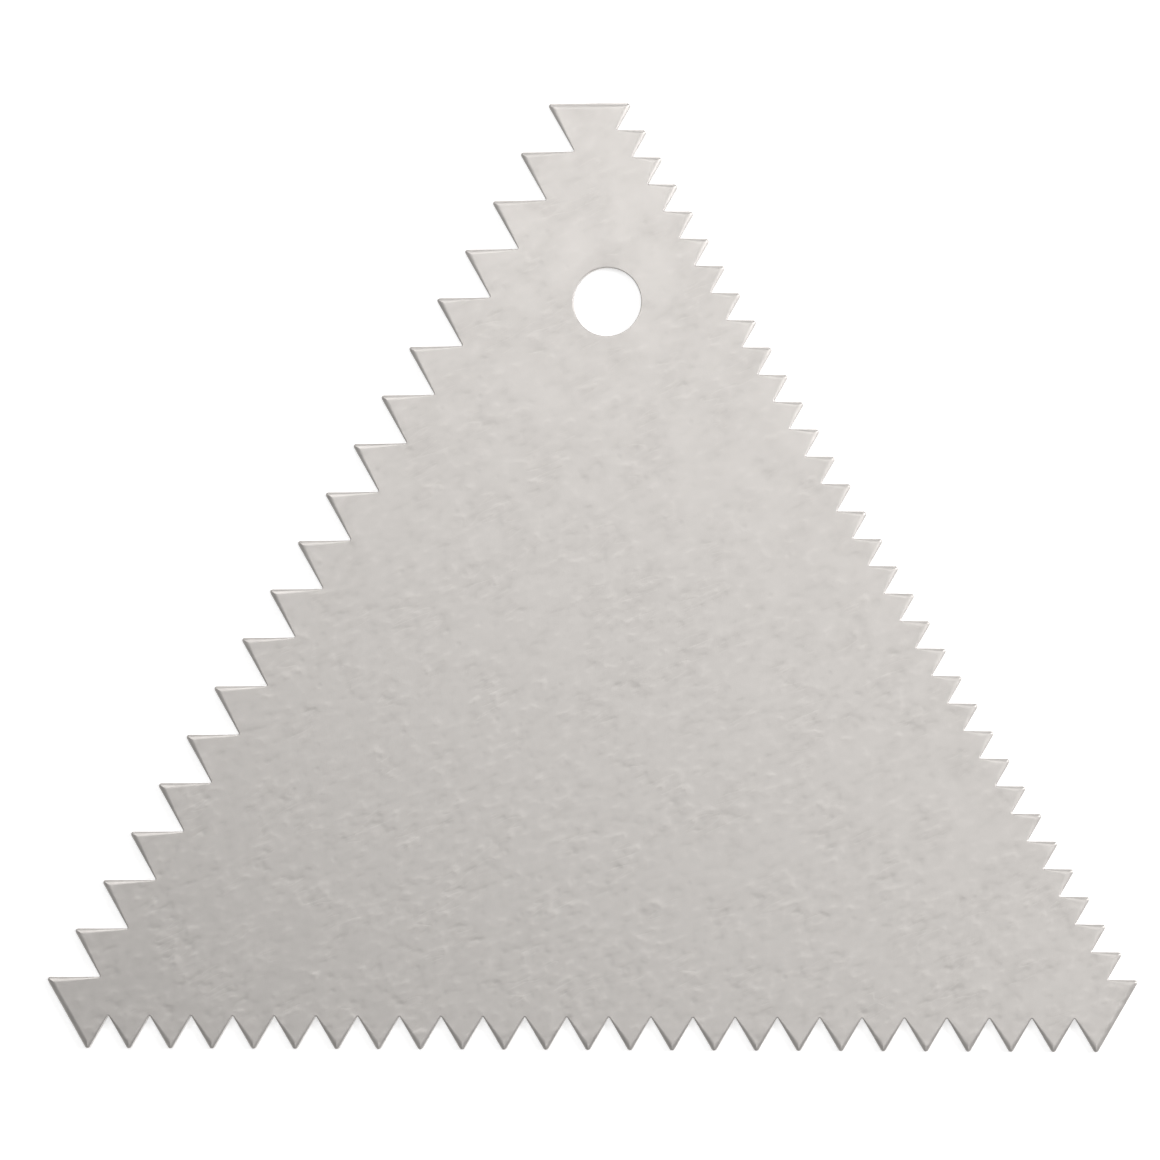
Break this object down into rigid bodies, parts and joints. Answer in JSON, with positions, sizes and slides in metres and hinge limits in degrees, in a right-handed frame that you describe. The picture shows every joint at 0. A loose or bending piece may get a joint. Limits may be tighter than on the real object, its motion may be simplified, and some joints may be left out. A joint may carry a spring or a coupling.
{
  "type": "cake comb",
  "caption": "Flat triangular aluminium sheet comb with a row of V teeth of its own pitch along each side and a hanging hole near one blunted corner.",
  "frame": {"origin": "centre of the outline's box, on the underside that the sheet lies on", "axes": "+X along the medium teeth, with the coarse teeth on the -X side; +Y towards the blunted corner with the hanging hole; +Z out of the rolled upper face"},
  "size_m": [0.1014, 0.0878, 0.0008],
  "materials": {
    "tumbled_aluminium": "matte tumbled sheet, fine slanting grain, rounded upper edges"
  },
  "bodies": {
    "root": {"comb": "tumbled_aluminium"}
  },
  "joints": []
}
